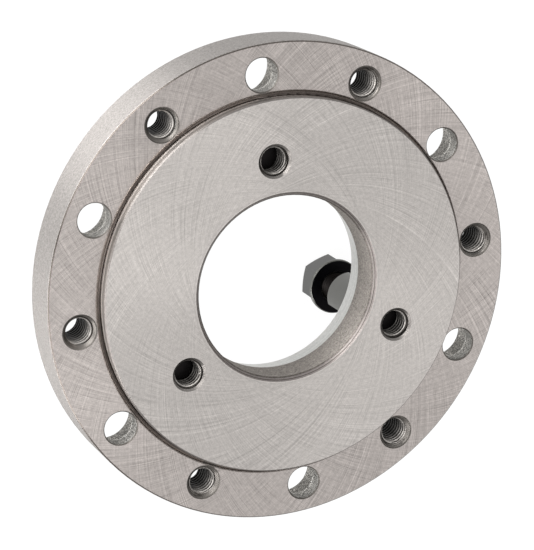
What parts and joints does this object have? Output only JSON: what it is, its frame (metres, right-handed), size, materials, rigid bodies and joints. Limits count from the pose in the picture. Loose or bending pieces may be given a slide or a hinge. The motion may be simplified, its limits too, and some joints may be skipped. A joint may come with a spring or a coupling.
{
  "type": "chuck adapter plate",
  "caption": "Round steel plate that carries a lathe chuck on a short-taper spindle, with a raised register, screw holes, studs and collar nuts.",
  "frame": {"origin": "centre of the back face, where the plate seats on the spindle, on the plate's axis", "axes": "+Z along the plate's axis towards the chuck; +Y towards one of the three studs and the screw hole in line with it"},
  "size_m": [0.16, 0.16, 0.0591],
  "materials": {
    "ground_steel": "ground, with crossing arcs on the faces",
    "stud_steel": "satin, heat-treated",
    "nut_steel": "satin, heat-treated"
  },
  "bodies": {
    "plate": {"plate": "ground_steel", "stud_1": "stud_steel", "stud_2": "stud_steel", "stud_3": "stud_steel"},
    "nut_1": {"collar_nut_1": "nut_steel"},
    "nut_2": {"collar_nut_2": "nut_steel"},
    "nut_3": {"collar_nut_3": "nut_steel"}
  },
  "joints": [
    {"name": "nut_1_turn", "type": "hinge", "parent": "plate", "child": "nut_1", "pos_m": [0, 0.0425, -0.0324], "axis": [0, 0, 1], "continuous": true},
    {"name": "nut_2_turn", "type": "hinge", "parent": "plate", "child": "nut_2", "pos_m": [-0.03681, -0.02125, -0.0324], "axis": [0, 0, 1], "continuous": true},
    {"name": "nut_3_turn", "type": "hinge", "parent": "plate", "child": "nut_3", "pos_m": [0.03681, -0.02125, -0.0324], "axis": [0, 0, 1], "continuous": true}
  ]
}
